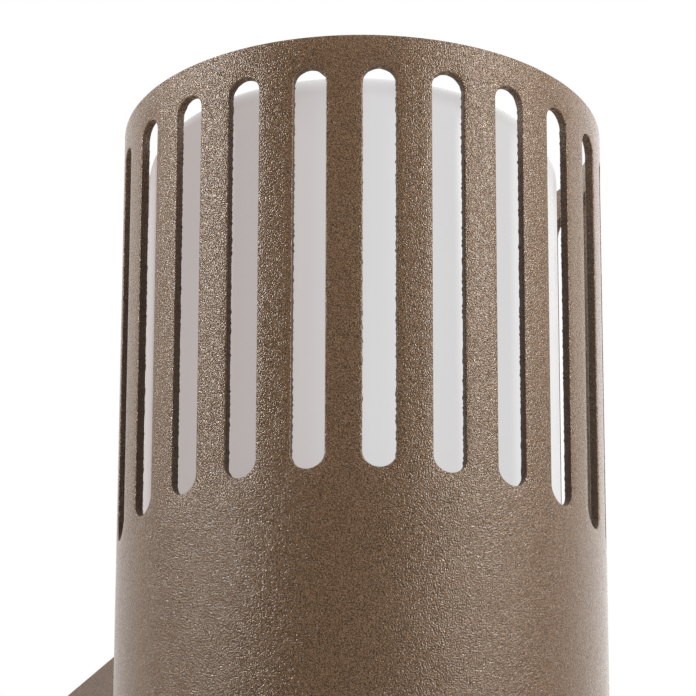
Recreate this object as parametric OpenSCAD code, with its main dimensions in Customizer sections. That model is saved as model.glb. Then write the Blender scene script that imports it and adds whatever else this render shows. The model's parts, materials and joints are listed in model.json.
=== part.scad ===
// Outdoor wall light: a slotted tube round an opal diffuser, carried on a hollow cast arm.
// Origin: middle of the wall plate's back face, on the wall. +Z is up and the front faces -Y.
// All sizes are in millimetres.

/* [Tube] */
// Outer diameter of the shade tube
tube_d = 110; // [100:1:130]
// Wall of the shade tube
tube_wall = 2; // [1.5:0.1:3]
// Length of tube below the arm
tube_tail = 30; // [26:1:90]
// Number of slots round the tube
slot_count = 22; // [12:1:24]
// Width of a slot
slot_w = 7.5; // [4:0.1:9]
// Length of a slot, end to end
slot_len = 96.2; // [80:0.1:110]
// Distance from the rim to the top of a slot
slot_margin = 7.7; // [5:0.1:14]
// Radius of the two weep holes at the back of the tube
weep_r = 2.5; // [1.5:0.1:3]

/* [Diffuser] */
// Gap between the tube and the diffuser, all round
diffuser_gap = 6; // [5:0.1:9]
// Wall of the diffuser
diffuser_wall = 2; // [1.5:0.1:3]
// Radius of the diffuser's shoulder
shoulder_r = 8; // [6:0.5:14]
// Depth of the diffuser's top below the tube's rim
diffuser_drop = 3; // [1:0.5:8]
// Radius of the sphere that crowns the diffuser's top
crown_r = 600; // [400:10:1000]
// How far the lamp set sits from the tube's axis along X, in its slotted holes
lamp_shift = -2.3; // [-2.5:0.1:2.5]

/* [Arm] */
// Width of the arm at the wall
arm_w = 79; // [74:1:90]
// Height of the arm at the wall
arm_h = 100; // [96:1:130]
// Distance from the wall to the back of the tube
arm_depth = 40; // [36:1:80]
// Wall of the arm casting
arm_wall = 3; // [2.5:0.1:4]
// Wall between the arm's hollow and its saddle
saddle_wall = 4; // [3:0.1:6]
// Draft of the arm's four sides, in degrees
arm_draft = 2; // [0:0.1:2.5]
// Height of the arm's top edge above the lamp carrier
arm_over_carrier = 1; // [0:0.1:4]

/* [Wall plate] */
// Thickness of the wall plate
plate_t = 2; // [1.5:0.1:3]
// Thickness of the wall gasket
wall_gasket_t = 2; // [1:0.1:4]
// Distance between the wall plate's slotted holes, across
hole_span_x = 48; // [44:1:50]
// Distance between the wall plate's slotted holes, up and down
hole_span_z = 76; // [70:1:78]
// Width of a slotted hole in the wall plate
hole_w = 5.5; // [4:0.1:6]
// Length of a slotted hole in the wall plate
hole_len = 10; // [8:0.5:12]
// Radius of the supply cable's hole in its grommet
cable_r = 4; // [3:0.1:5]

/* [Lamp set] */
// Distance from the slots' lower ends to the top of the lamp carrier
carrier_drop = 7.1; // [4:0.1:12]
// Thickness of the lamp carrier
carrier_t = 4; // [3.5:0.1:5]
// Thickness of the lamp base's disc
base_t = 2.5; // [2:0.1:4]
// Height of the lamp base's collar above its disc
collar_h = 12.5; // [10:0.5:18]
// Wall of the lamp base's collar
collar_wall = 3.4; // [3:0.1:4]
// Outer radius of the lamp holder
holder_r = 19.5; // [19:0.1:21]
// Height of the lamp holder
holder_h = 42; // [40:0.5:46]
// Height of the lamp holder's mouth above the lamp carrier
holder_rise = 11; // [9:0.5:14]
// Length of the bulb's globe and body above its cap
bulb_h = 81; // [70:1:84]
// Radius of the bulb's globe
bulb_r = 30; // [28:0.5:32]

/* [Inner fittings] */
// Thickness of the sheet of the mounting strap
strap_t = 2; // [1.5:0.1:3]
// Width of the mounting strap
strap_w = 40; // [36:1:44]
// Thickness of the gasket between the arm and the tube
saddle_gasket_t = 1; // [0.5:0.1:1.5]
// Radius of the opening for the wires between the arm and the tube
wire_port_r = 9; // [8:0.1:11]
// Outer diameter of an insulated wire
wire_d = 2.8; // [2:0.1:3]
// Width of the terminal block
terminal_w = 32; // [30:0.5:36]
// Height of the terminal block, off the wall plate
terminal_depth = 16; // [14:0.5:18]

/* [Hidden] */
$fn = 96;

// Colours of the finishes
bronze = [0.43, 0.36, 0.30];
opal = [0.93, 0.93, 0.94];
white_plastic = [0.90, 0.90, 0.88];
black_rubber = [0.12, 0.12, 0.12];
zinc = [0.72, 0.73, 0.75];
brass = [0.80, 0.65, 0.35];
porcelain = [0.95, 0.94, 0.90];
glass_black = [0.08, 0.08, 0.09];
brown_wire = [0.40, 0.22, 0.12];
blue_wire = [0.15, 0.30, 0.70];
green_wire = [0.45, 0.70, 0.15];

// Clearances
cut = 1;                // how far a cut runs past the face that it opens
loose = 0.3;            // gap of a loose fit or a soft face
snug = 0.05;            // gap round a screw's thread
slide_gap = 0.4;        // gap between the diffuser and the collar that it slides over
cap_gap = 0.2;          // gap round the bottom cap and the lamp carrier
plate_gap = 1;          // gap between the wall plate and the arm's walls
ring_gap = 0.3;         // gap between the seal ring and the diffuser

// Screw heads: radius and height of each size
small_head = [1.8, 1.4];
head_m3 = [2.8, 1.8];
head_m4 = [3.9, 2.4];
head_m5 = [4.6, 3];
head_flatness = 1.6;    // how much flatter a head's dome is than a sphere's cap of its size
socket_share = 0.65;    // size of a socket as a share of the screw's diameter and its head's height

// Radii and heights of the tube and what it holds
tube_r = tube_d / 2;
tube_in = tube_r - tube_wall;
reach = arm_depth + tube_r;
carrier_top = arm_h / 2 - arm_over_carrier;
slot_low = carrier_top + carrier_drop;
rim_z = slot_low + slot_len + slot_margin;
tube_low = -arm_h / 2 - tube_tail;
tube_h = rim_z - tube_low;
weep_angle = 128;

tube_screw_in = 18;     // distance from the arm's top and bottom edges to its screws
tube_screw_z = arm_h / 2 - tube_screw_in;

// Lamp carrier and the strap that holds it
carrier_low = carrier_top - carrier_t;
carrier_r = tube_in - cap_gap;
holder_room = 5.5;
carrier_hole_r = holder_r + holder_room;
seal_r = 1.2;
shelf_low = carrier_low - strap_t;
strap_in = tube_in - strap_t;
strap_end = 13;
strap_low = -tube_screw_z - strap_end;
shelf_len = 22;
carrier_screw_x = 12;
carrier_screw_in = 9;

// Screws through the tube into the arm
tube_screw_d = 5;
tube_screw_len = 20;
washer_r = 5;
washer_t = 1;
washer_seat = sqrt(strap_in * strap_in - washer_r * washer_r);
boss_r = 6;
boss_len = 14;

// Lamp base, diffuser and its seal
base_top = carrier_top + base_t;
diffuser_r = tube_in - diffuser_gap;
base_lip = 2;
base_r = diffuser_r + base_lip;
diffuser_in = diffuser_r - diffuser_wall;
diffuser_top = rim_z - diffuser_drop;
diffuser_h = diffuser_top - base_top;
collar_r = diffuser_in - slide_gap;
ring_r = 0.85;
ring_groove = 1.5;
ring_z = base_top + collar_h / 2;
ring_centre = diffuser_in - ring_gap - ring_r;
base_boss_r = 3.5;
base_boss_h = 6;
base_screw_grip = 3;
base_boss_in = 2;
base_boss_at = collar_r - collar_wall - base_boss_r - base_boss_in;
base_screw_d = 3;
base_hole_slack = 2.8;

// Lamp holder
holder_top = carrier_top + holder_rise;
holder_low = holder_top - holder_h;
holder_base = 8;
holder_floor = holder_low + holder_base;
holder_bore = 15;
flange_lip = 7.5;
flange_r = holder_r + flange_lip;
flange_t = 2.5;
holder_screw_at = holder_r + flange_lip / 2;
shell_t = 0.7;
shell_gap = 0.1;
shell_r = holder_bore - shell_gap;
shell_below_mouth = 5;
shell_h = holder_h - holder_base - shell_below_mouth;
thread_pitch = 3.6;
thread_r = 0.6;

// Bulb, from its contact up
spring_h = 6.9;
spring_gap = 0.1;
spring_t = 0.8;
spring_w = 6;
spring_foot = 11;
spring_riser = 4;
tip_z = holder_floor + spring_h + spring_gap;
tip_r = 4.5;
tip_h = 1.2;
insulator_h = 3.3;
insulator_r = 11.5;
cap_low = tip_z + tip_h + insulator_h;
cap_r = 12.6;
cap_t = 0.4;
cap_h = 20.5;
cap_thread_r = 0.65;
body_low = cap_low + cap_h;
neck_r = 13.2;
neck_h = 3;
bulb_wall = 1.2;
body_wall = 1.6;
body_belly = 1;
body_belly_drop = 2;
bulb_top = body_low + bulb_h;
globe_z = bulb_top - bulb_r;
globe_cut = 12;
body_top = globe_z - globe_cut;
body_top_r = sqrt(bulb_r * bulb_r - globe_cut * globe_cut);
board_t = 1.6;
led_count = 12;
led_w = 3;
led_h = 0.7;
led_at = 17;

// Bottom cap
cap_recess = 2;
cap_disc_t = 2;
cap_wall_t = 2;
cap_skirt = 16;
cap_screw_up = 9;
cap_screw_d = 3;
cap_screw_len = 8;
cap_boss_r = 4;
cap_boss_len = 8;
cap_screw_angles = [60, 180, 300];
drain_r = 2.5;
drain_at = 30;

// Arm and its screws into the wall plate
saddle_r = tube_r + saddle_gasket_t;
side_screw_d = 4;
side_screw_y = -wall_gasket_t - 9;
side_screw_len = 8;
side_recess = 1.2;

// Wall plate
plate_w = arm_w - 2 * arm_wall - 2 * plate_gap;
plate_h = arm_h - 2 * arm_wall - 2 * plate_gap;
lug_h = 30;
lug_len = 16;
entry_z = -14;
entry_wall = 4;
entry_r = cable_r + entry_wall;
grommet_lip = 2;
grommet_lip_t = 1.5;

// Terminal block
terminal_h = 18;
terminal_z = 24;
pole_pitch = 9;
pole_count = 3;
clamp_r = 2.6;
clamp_bore = 1.6;
clamp_gap = 0.1;
well_r = 2.4;
pole_screw_d = 2.6;
pole_screw_off = 4.8;
pole_screw_len = 4;
terminal_screw_d = 2.5;

// Earth stud
earth_x = 23;
earth_z = entry_z;
earth_d = 4;
earth_len = 12;
tag_t = 0.8;
tag_r = 4;
tag_tail = 6;
tag_barrel = 4;
nut_r = 4.04;
nut_h = 3.2;

// Places along the wires
wire_y = -plate_t - terminal_depth / 2;
wire_in = 6;            // how far a wire goes up into its clamp
wire_lead = 2;          // straight run of a wire at each end
down = [0, 0, -1];
wire_pair_x = 1.8;      // distance of the two lamp wires from the middle of their opening
wire_end_x = 7.5;       // distance of their ends from the middle of the lamp holder
wire_bend = 9;          // reach of a handle at a wire's tight bend
wire_sweep = 18;        // reach of a handle at a wire's wide bend
wire_steps = 12;
wire_sides = 8;

// Returns half the arm's width or height at a depth y, for its size at the wall
function arm_half(size, y) = size / 2 + (y + wall_gasket_t) * tan(arm_draft);
// Returns the vector v at length 1
function unit(v) = v / norm(v);
// Returns a point of a cubic curve from a to d, with handles b and c
function curve_at(a, b, c, d, t) =
    pow(1 - t, 3) * a + 3 * pow(1 - t, 2) * t * b + 3 * (1 - t) * t * t * c + t * t * t * d;
// Returns the points of a smooth route through stops, each a [place, direction, reach of its handles]
function route(stops) = [
    for (i = [0 : len(stops) - 2]) for (j = [(i == 0 ? 0 : 1) : wire_steps])
        let (a = stops[i], b = stops[i + 1])
        curve_at(a[0], a[0] + a[1] * a[2], b[0] - b[1] * b[2], b[0], j / wire_steps)
];

module at_tube_axis() translate([0, -reach, 0]) children();
module at_lamp_axis() translate([lamp_shift, -reach, 0]) children();

// A round washer or sleeve that stands on z
module ring(outer, inner, height, z = 0) translate([0, 0, z]) difference() {
    cylinder(r = outer, h = height);
    translate([0, 0, -cut]) cylinder(r = inner, h = height + 2 * cut);
}

// A ring of round section
module torus(centre, section, z) translate([0, 0, z]) rotate_extrude()
    translate([centre, 0]) circle(r = section, $fn = 32);

// A flat shape with two round ends, long along X
module obround(long, wide) {
    square([long - wide, wide], center = true);
    for (side = [-1, 1]) translate([side * (long - wide) / 2, 0]) circle(d = wide, $fn = 48);
}

// A screw along +Z, with its head's seat at z = 0 and a six-sided socket in a domed head
module screw(d, length, head) {
    head_r = head[0];
    head_h = head[1];
    dome_r = (head_r * head_r + head_h * head_h) / (2 * head_h) * head_flatness;
    translate([0, 0, -snug / 5]) cylinder(d = d, h = length + snug / 5, $fn = 48);
    difference() {
        intersection() {
            translate([0, 0, -head_h]) cylinder(r = head_r, h = head_h, $fn = 48);
            translate([0, 0, dome_r - head_h]) sphere(r = dome_r, $fn = 96);
        }
        translate([0, 0, -head_h - cut])
            cylinder(d = d * socket_share, h = head_h * socket_share + cut, $fn = 6);
    }
}

// A wire swept along a line of points; side is a direction that the line never runs along
module wire(line, side) {
    last = len(line) - 1;
    rings = [
        for (i = [0 : last]) let (
            ahead = line[min(i + 1, last)] - line[max(i - 1, 0)],
            across = unit(cross(ahead, side)), up = unit(cross(across, ahead))
        ) for (k = [0 : wire_sides - 1]) let (turn = 360 * k / wire_sides)
            line[i] + wire_d / 2 * (cos(turn) * across + sin(turn) * up)
    ];
    walls = [
        for (i = [0 : last - 1]) for (k = [0 : wire_sides - 1])
            let (next = (k + 1) % wire_sides, low = i * wire_sides, high = low + wire_sides)
            [low + k, high + k, high + next, low + next]
    ];
    first_end = [for (k = [0 : wire_sides - 1]) k];
    last_end = [for (k = [wire_sides - 1 : -1 : 0]) last * wire_sides + k];
    polyhedron(points = rings, faces = concat([first_end], walls, [last_end]));
}

// One slot of the tube, cut outwards along +X
module slot_cut() translate([tube_in - cut, 0, slot_low + slot_len / 2]) rotate([90, 90, 90])
    linear_extrude(tube_wall + 2 * cut) obround(slot_len, slot_w);

// Round holes along +Y at the heights of the two screws that hold the tube to the arm
module tube_screw_holes(d, from_y, to_y) for (side = [-1, 1])
    translate([0, from_y, side * tube_screw_z]) rotate([-90, 0, 0])
        cylinder(d = d, h = to_y - from_y, $fn = 48);

// The round way for the wires, along +Y
module wire_port(r, from_y, to_y) translate([0, from_y, 0]) rotate([-90, 0, 0])
    cylinder(r = r, h = to_y - from_y);

// A block with the arm's draft on its four sides, drawn in by inset
module drafted_block(inset, back, front) intersection() {
    linear_extrude(arm_h * 2, center = true) polygon([
        [-arm_half(arm_w, back) + inset, back], [-arm_half(arm_w, front) + inset, front],
        [arm_half(arm_w, front) - inset, front], [arm_half(arm_w, back) - inset, back]
    ]);
    rotate([90, 0, 90]) linear_extrude(arm_w * 2, center = true) polygon([
        [back, -arm_half(arm_h, back) + inset], [front, -arm_half(arm_h, front) + inset],
        [front, arm_half(arm_h, front) - inset], [back, arm_half(arm_h, back) - inset]
    ]);
}

module shade_tube() color(bronze) difference() {
    at_tube_axis() difference() {
        ring(tube_r, tube_in, tube_h, tube_low);
        for (i = [0 : slot_count - 1]) rotate([0, 0, -90 + i * 360 / slot_count]) slot_cut();
        for (side = [-1, 1]) rotate([0, 0, -90 + side * weep_angle])
            translate([tube_in - cut, 0, carrier_top + weep_r]) rotate([0, 90, 0])
                cylinder(r = weep_r, h = tube_wall + 2 * cut, $fn = 48);
        for (turn = cap_screw_angles) rotate([0, 0, -90 + turn])
            translate([tube_in - cut, 0, tube_low + cap_screw_up]) rotate([0, 90, 0])
                cylinder(d = cap_screw_d + loose, h = tube_wall + 2 * cut, $fn = 48);
    }
    tube_screw_holes(tube_screw_d + loose, -reach, -arm_depth + cut);
    wire_port(wire_port_r, -reach, -arm_depth + cut);
}

// Half of the diffuser's outline seen from the side, drawn in by inset
module diffuser_half(inset) intersection() {
    union() {
        translate([0, base_top - cut]) square([diffuser_r - inset, diffuser_h - shoulder_r + cut]);
        translate([0, base_top - cut]) square([diffuser_r - shoulder_r, diffuser_h - inset + cut]);
        translate([diffuser_r - shoulder_r, diffuser_top - shoulder_r]) circle(r = shoulder_r - inset);
    }
    translate([0, diffuser_top - crown_r]) circle(r = crown_r - inset, $fn = 720);
}

module diffuser() color(opal) at_lamp_axis() rotate_extrude() intersection() {
    difference() {
        diffuser_half(0);
        diffuser_half(diffuser_wall);
    }
    translate([0, base_top]) square([diffuser_r + cut, diffuser_h + cut]);
}

module diffuser_seal() color(black_rubber) at_lamp_axis() torus(ring_centre, ring_r, ring_z);

// The three places of the lamp base's bosses
module base_screw_places() for (turn = [0, 120, 240]) rotate([0, 0, -90 + turn])
    translate([base_boss_at, 0, 0]) children();

module lamp_base() color(white_plastic) at_lamp_axis() difference() {
    union() {
        ring(base_r, holder_r + cap_gap, base_t, carrier_top);
        ring(collar_r, collar_r - collar_wall, collar_h, base_top);
        base_screw_places() translate([0, 0, base_top]) cylinder(r = base_boss_r, h = base_boss_h);
    }
    rotate_extrude() translate([ring_centre - ring_r, ring_z - ring_r])
        square([ring_groove + ring_r, 2 * ring_r]);
    base_screw_places() translate([0, 0, carrier_top - cut])
        cylinder(d = base_screw_d + 2 * snug, h = base_t + base_boss_h - cut, $fn = 48);
    for (side = [-1, 1]) translate([side * holder_screw_at, 0, carrier_top - cut])
        cylinder(d = base_screw_d + 2 * snug, h = base_t + 2 * cut, $fn = 48);
}

module lamp_base_screws() color(zinc) at_lamp_axis() base_screw_places()
    translate([0, 0, carrier_low]) screw(base_screw_d, carrier_t + base_t + base_screw_grip, head_m3);

// The two places of the screws that hold the lamp carrier to the strap's shelf
module carrier_screw_places() for (side = [-1, 1])
    translate([side * carrier_screw_x, strap_in - carrier_screw_in, 0]) children();

module lamp_carrier() color(zinc) at_tube_axis() difference() {
    translate([0, 0, carrier_low]) cylinder(r = carrier_r, h = carrier_t);
    torus(tube_in - seal_r, seal_r + snug, carrier_low + carrier_t / 2);
    translate([0, 0, carrier_low - cut]) cylinder(r = carrier_hole_r, h = carrier_t + 2 * cut);
    carrier_slots();
    carrier_screw_places() translate([0, 0, carrier_low - cut])
        cylinder(d = side_screw_d + 2 * snug, h = carrier_t + 2 * cut, $fn = 48);
}

// Slots of the lamp carrier, long along X, that let the lamp set move sideways
module carrier_slots() for (turn = [0, 120, 240])
    translate([base_boss_at * sin(turn), -base_boss_at * cos(turn), carrier_low - cut])
        linear_extrude(carrier_t + 2 * cut)
            obround(base_screw_d + 2 * base_hole_slack, base_screw_d + loose);

module carrier_seal() color(black_rubber) at_tube_axis()
    torus(tube_in - seal_r, seal_r, carrier_low + carrier_t / 2);

module carrier_screws() color(zinc) at_tube_axis() carrier_screw_places()
    translate([0, 0, shelf_low]) screw(side_screw_d, strap_t + carrier_t, head_m4);

module mounting_strap() color(zinc) difference() {
    at_tube_axis() {
        intersection() {
            ring(tube_in, strap_in, carrier_low - strap_low, strap_low);
            translate([-strap_w / 2, 0, strap_low]) cube([strap_w, tube_r, carrier_low - strap_low]);
        }
        intersection() {
            translate([0, 0, shelf_low]) cylinder(r = tube_in, h = strap_t);
            translate([-strap_w / 2, tube_in - shelf_len, shelf_low]) cube([strap_w, shelf_len, strap_t]);
        }
    }
    at_tube_axis() carrier_screw_places() translate([0, 0, shelf_low - cut])
        cylinder(d = side_screw_d + loose, h = strap_t + 2 * cut, $fn = 48);
    tube_screw_holes(tube_screw_d + loose, -reach, -arm_depth + cut);
    wire_port(wire_port_r, -reach, -arm_depth + cut);
}

module tube_screws() color(zinc) at_tube_axis() for (side = [-1, 1])
    translate([0, washer_seat - washer_t, side * tube_screw_z]) rotate([-90, 0, 0])
        screw(tube_screw_d, tube_screw_len, head_m5);

module tube_screw_washers() color(zinc) at_tube_axis() for (side = [-1, 1])
    translate([0, washer_seat - washer_t, side * tube_screw_z]) rotate([-90, 0, 0])
        ring(washer_r, tube_screw_d / 2 + loose / 2, washer_t);

module holder_body() color(porcelain) at_lamp_axis() difference() {
    union() {
        translate([0, 0, holder_low]) cylinder(r = holder_r, h = holder_h);
        translate([0, 0, base_top]) cylinder(r = flange_r, h = flange_t);
    }
    translate([0, 0, holder_floor]) cylinder(r = holder_bore, h = holder_h);
    for (side = [-1, 1]) translate([side * holder_screw_at, 0, base_top - cut])
        cylinder(d = base_screw_d + loose, h = flange_t + 2 * cut, $fn = 48);
}

module holder_shell() color(brass) at_lamp_axis() {
    ring(shell_r, shell_r - shell_t, shell_h, holder_floor);
    for (z = [holder_floor + thread_pitch : thread_pitch : holder_floor + shell_h - thread_pitch / 2])
        torus(shell_r - shell_t, thread_r, z);
}

// The sprung tongue under the bulb's contact, with its foot on the holder's floor
module holder_contact() color(brass) at_lamp_axis() translate([0, spring_w / 2, holder_floor])
    rotate([90, 0, 0]) linear_extrude(spring_w) polygon([
        [spring_foot, 0], [spring_foot, spring_t],
        [spring_riser + spring_t, spring_t], [spring_riser + spring_t, spring_h],
        [-spring_riser, spring_h], [-spring_riser, spring_h - spring_t],
        [spring_riser, spring_h - spring_t], [spring_riser, 0]
    ]);

module holder_screws() color(zinc) at_lamp_axis() for (side = [-1, 1])
    translate([side * holder_screw_at, 0, base_top + flange_t]) rotate([180, 0, 0])
        screw(base_screw_d, flange_t + base_t, head_m3);

module bulb_contact() color(zinc) at_lamp_axis() translate([0, 0, tip_z]) cylinder(r = tip_r, h = tip_h);

module bulb_insulator() color(glass_black) at_lamp_axis() translate([0, 0, tip_z + tip_h])
    cylinder(r1 = tip_r, r2 = insulator_r, h = insulator_h);

module bulb_cap() color(zinc) at_lamp_axis() {
    ring(cap_r, cap_r - cap_t, cap_h, cap_low);
    translate([0, 0, cap_low]) cylinder(r = cap_r, h = cap_t);
    for (z = [cap_low + thread_pitch : thread_pitch : cap_low + cap_h - thread_pitch])
        torus(cap_r, cap_thread_r, z);
}

module bulb_body() color(white_plastic) at_lamp_axis() rotate_extrude() polygon([
    [0, body_low], [neck_r, body_low], [neck_r, body_low + neck_h],
    [(neck_r + body_top_r) / 2 + body_belly, (body_low + body_top) / 2 - body_belly_drop],
    [body_top_r, body_top],
    [body_top_r - body_wall, body_top], [body_top_r - body_wall, body_top - board_t],
    [body_top_r - 2 * body_wall, body_top - board_t],
    [neck_r - body_wall, body_low + neck_h + body_wall], [0, body_low + neck_h + body_wall]
]);

module bulb_led_board() color(white_plastic) at_lamp_axis() {
    translate([0, 0, body_top - board_t]) cylinder(r = body_top_r - body_wall - cap_gap, h = board_t);
    for (i = [0 : led_count - 1]) rotate([0, 0, i * 360 / led_count])
        translate([led_at - led_w / 2, -led_w / 2, body_top - snug]) cube([led_w, led_w, led_h + snug]);
}

module bulb_globe() color(opal) at_lamp_axis() intersection() {
    translate([0, 0, globe_z]) difference() {
        sphere(r = bulb_r);
        sphere(r = bulb_r - bulb_wall);
    }
    translate([0, 0, body_top]) cylinder(r = bulb_r + cut, h = bulb_r + globe_cut + cut);
}

module bottom_cap() color(bronze) at_tube_axis() difference() {
    union() {
        translate([0, 0, tube_low + cap_recess]) cylinder(r = tube_in - cap_gap, h = cap_disc_t);
        ring(tube_in - cap_gap, tube_in - cap_gap - cap_wall_t, cap_skirt, tube_low + cap_recess);
        for (turn = cap_screw_angles) rotate([0, 0, -90 + turn]) intersection() {
            translate([tube_in - cap_gap - cap_boss_len, 0, tube_low + cap_screw_up]) rotate([0, 90, 0])
                cylinder(r = cap_boss_r, h = cap_boss_len + cut);
            translate([0, 0, tube_low]) cylinder(r = tube_in - cap_gap, h = cap_skirt + cap_recess);
        }
    }
    for (turn = cap_screw_angles) rotate([0, 0, -90 + turn])
        translate([tube_in - cap_gap - cap_boss_len - cut, 0, tube_low + cap_screw_up])
            rotate([0, 90, 0]) cylinder(d = cap_screw_d + 2 * snug, h = cap_boss_len + 2 * cut, $fn = 48);
    for (turn = [0, 120, 240]) rotate([0, 0, -90 + turn])
        translate([drain_at, 0, tube_low]) cylinder(r = drain_r, h = cap_skirt, $fn = 48);
}

module cap_screws() color(bronze) at_tube_axis() for (turn = cap_screw_angles) rotate([0, 0, -90 + turn])
    translate([tube_r, 0, tube_low + cap_screw_up]) rotate([0, -90, 0])
        screw(cap_screw_d, cap_screw_len, head_m3);

// A cylinder on the tube's axis, longer than the arm is high
module tube_side(r) at_tube_axis() translate([0, 0, -arm_h]) cylinder(r = r, h = 2 * arm_h);

// Turns what it holds to point out of the arm's two sides, from the seats of its side screws
module side_screw_places() for (side = [-1, 1])
    translate([side * (arm_half(arm_w, side_screw_y) - side_recess), side_screw_y, 0])
        rotate([0, side * 90, 0]) children();

module arm_housing() color(bronze) difference() {
    union() {
        difference() {
            drafted_block(0, -wall_gasket_t, -reach);
            difference() {
                drafted_block(arm_wall, cut, -reach);
                tube_side(saddle_r + saddle_wall);
            }
        }
        tube_screw_holes(2 * boss_r, -arm_depth, -arm_depth + boss_len);
    }
    tube_side(saddle_r);
    tube_screw_holes(tube_screw_d + 2 * snug, -reach, -arm_depth + boss_len + cut);
    wire_port(wire_port_r, -reach, -arm_depth + boss_len);
    side_screw_places() {
        cylinder(r = head_m4[0] + loose, h = side_recess + cut);
        translate([0, 0, -arm_wall - cut])
            cylinder(d = side_screw_d + loose, h = arm_wall + 2 * cut, $fn = 48);
    }
}

module saddle_gasket() color(black_rubber) difference() {
    intersection() {
        tube_side(saddle_r);
        drafted_block(0, -wall_gasket_t, -reach);
    }
    tube_side(tube_r);
    tube_screw_holes(tube_screw_d + loose, -reach, -arm_depth + boss_len);
    wire_port(wire_port_r, -reach, -arm_depth + boss_len);
}

module arm_screws() color(zinc) side_screw_places() rotate([180, 0, 0])
    screw(side_screw_d, side_screw_len, head_m4);

// A rubber bush round a hole in a wall, along +Y from a lip on each side of the wall
module grommet(outer, bore, wall, from_y) translate([0, from_y, 0]) rotate([-90, 0, 0]) difference() {
    union() {
        cylinder(r = outer, h = wall);
        translate([0, 0, -grommet_lip_t]) cylinder(r = outer + grommet_lip, h = grommet_lip_t);
        translate([0, 0, wall]) cylinder(r = outer + grommet_lip, h = grommet_lip_t);
    }
    translate([0, 0, -grommet_lip_t - cut]) cylinder(r = bore, h = wall + 2 * (grommet_lip_t + cut));
}

module wire_grommet() color(black_rubber) {
    lip_seat = sqrt(strap_in * strap_in - pow(wire_port_r + grommet_lip, 2));
    grommet(wire_port_r, wire_port_r - grommet_lip,
        saddle_r + saddle_wall - lip_seat, -reach + lip_seat);
}

module wall_plate() color(zinc) difference() {
    union() {
        translate([-plate_w / 2, -plate_t, -plate_h / 2]) cube([plate_w, plate_t, plate_h]);
        for (side = [-1, 1]) translate([side * (plate_w - plate_t) / 2, -(plate_t + lug_len) / 2, 0])
            cube([plate_t, plate_t + lug_len, lug_h], center = true);
    }
    for (x = [-1, 1]) for (z = [-1, 1])
        translate([x * hole_span_x / 2, cut, z * hole_span_z / 2]) rotate([90, 0, 0])
            linear_extrude(plate_t + 2 * cut) obround(hole_len, hole_w);
    translate([0, cut, entry_z]) rotate([90, 0, 0]) cylinder(r = entry_r, h = plate_t + 2 * cut);
    translate([earth_x, cut, earth_z]) rotate([90, 0, 0])
        cylinder(d = earth_d + 2 * snug, h = plate_t + 2 * cut, $fn = 48);
    for (side = [-1, 1]) translate([side * pole_pitch / 2, cut, terminal_z]) rotate([90, 0, 0])
        cylinder(d = terminal_screw_d + 2 * snug, h = plate_t + 2 * cut, $fn = 48);
    translate([-arm_w, side_screw_y, 0]) rotate([0, 90, 0])
        cylinder(d = side_screw_d + 2 * snug, h = 2 * arm_w, $fn = 48);
}

module wall_gasket() color(black_rubber) difference() {
    translate([-arm_w / 2, -wall_gasket_t, -arm_h / 2]) cube([arm_w, wall_gasket_t, arm_h]);
    translate([-plate_w / 2 - plate_gap / 2, -wall_gasket_t - cut, -plate_h / 2 - plate_gap / 2])
        cube([plate_w + plate_gap, wall_gasket_t + 2 * cut, plate_h + plate_gap]);
}

module cable_grommet() color(black_rubber) translate([0, 0, entry_z]) difference() {
    rotate([90, 0, 0]) cylinder(r = entry_r, h = plate_t);
    translate([0, cut, 0]) rotate([90, 0, 0]) cylinder(r = cable_r, h = plate_t + 2 * cut);
}

module terminal_block() color(white_plastic) difference() {
    translate([-terminal_w / 2, -plate_t - terminal_depth, terminal_z - terminal_h / 2])
        cube([terminal_w, terminal_depth, terminal_h]);
    for (i = [-1 : 1]) translate([i * pole_pitch, 0, terminal_z]) {
        translate([0, wire_y, -terminal_h])
            cylinder(r = clamp_r + clamp_gap, h = 2 * terminal_h, $fn = 48);
        for (side = [-1, 1]) translate([0, wire_y, side * pole_screw_off]) rotate([90, 0, 0])
            cylinder(r = well_r, h = terminal_depth, $fn = 48);
    }
    for (side = [-1, 1]) translate([side * pole_pitch / 2, cut, terminal_z]) rotate([90, 0, 0])
        cylinder(d = terminal_screw_d + loose, h = terminal_depth + plate_t + 2 * cut, $fn = 48);
}

module terminal_clamps() color(brass) for (i = [-1 : 1]) translate([i * pole_pitch, wire_y, terminal_z])
    difference() {
        translate([0, 0, -terminal_h / 2 + cut])
            cylinder(r = clamp_r, h = terminal_h - 2 * cut, $fn = 48);
        translate([0, 0, -terminal_h]) cylinder(r = clamp_bore, h = 2 * terminal_h, $fn = 48);
        for (side = [-1, 1]) translate([0, 0, side * pole_screw_off]) rotate([90, 0, 0])
            cylinder(d = pole_screw_d + 2 * snug, h = terminal_depth, $fn = 48);
    }

module terminal_screws() color(zinc) for (i = [-1 : 1]) for (side = [-1, 1])
    translate([i * pole_pitch, wire_y - clamp_bore, terminal_z + side * pole_screw_off])
        rotate([90, 0, 0]) cylinder(d = pole_screw_d, h = pole_screw_len, $fn = 48);

module terminal_fixings() color(zinc) for (side = [-1, 1])
    translate([side * pole_pitch / 2, -plate_t - terminal_depth, terminal_z]) rotate([-90, 0, 0])
        screw(terminal_screw_d, terminal_depth + plate_t, small_head);

module earth_stud() color(brass) translate([earth_x, 0, earth_z]) rotate([90, 0, 0])
    cylinder(d = earth_d, h = earth_len, $fn = 48);

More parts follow.
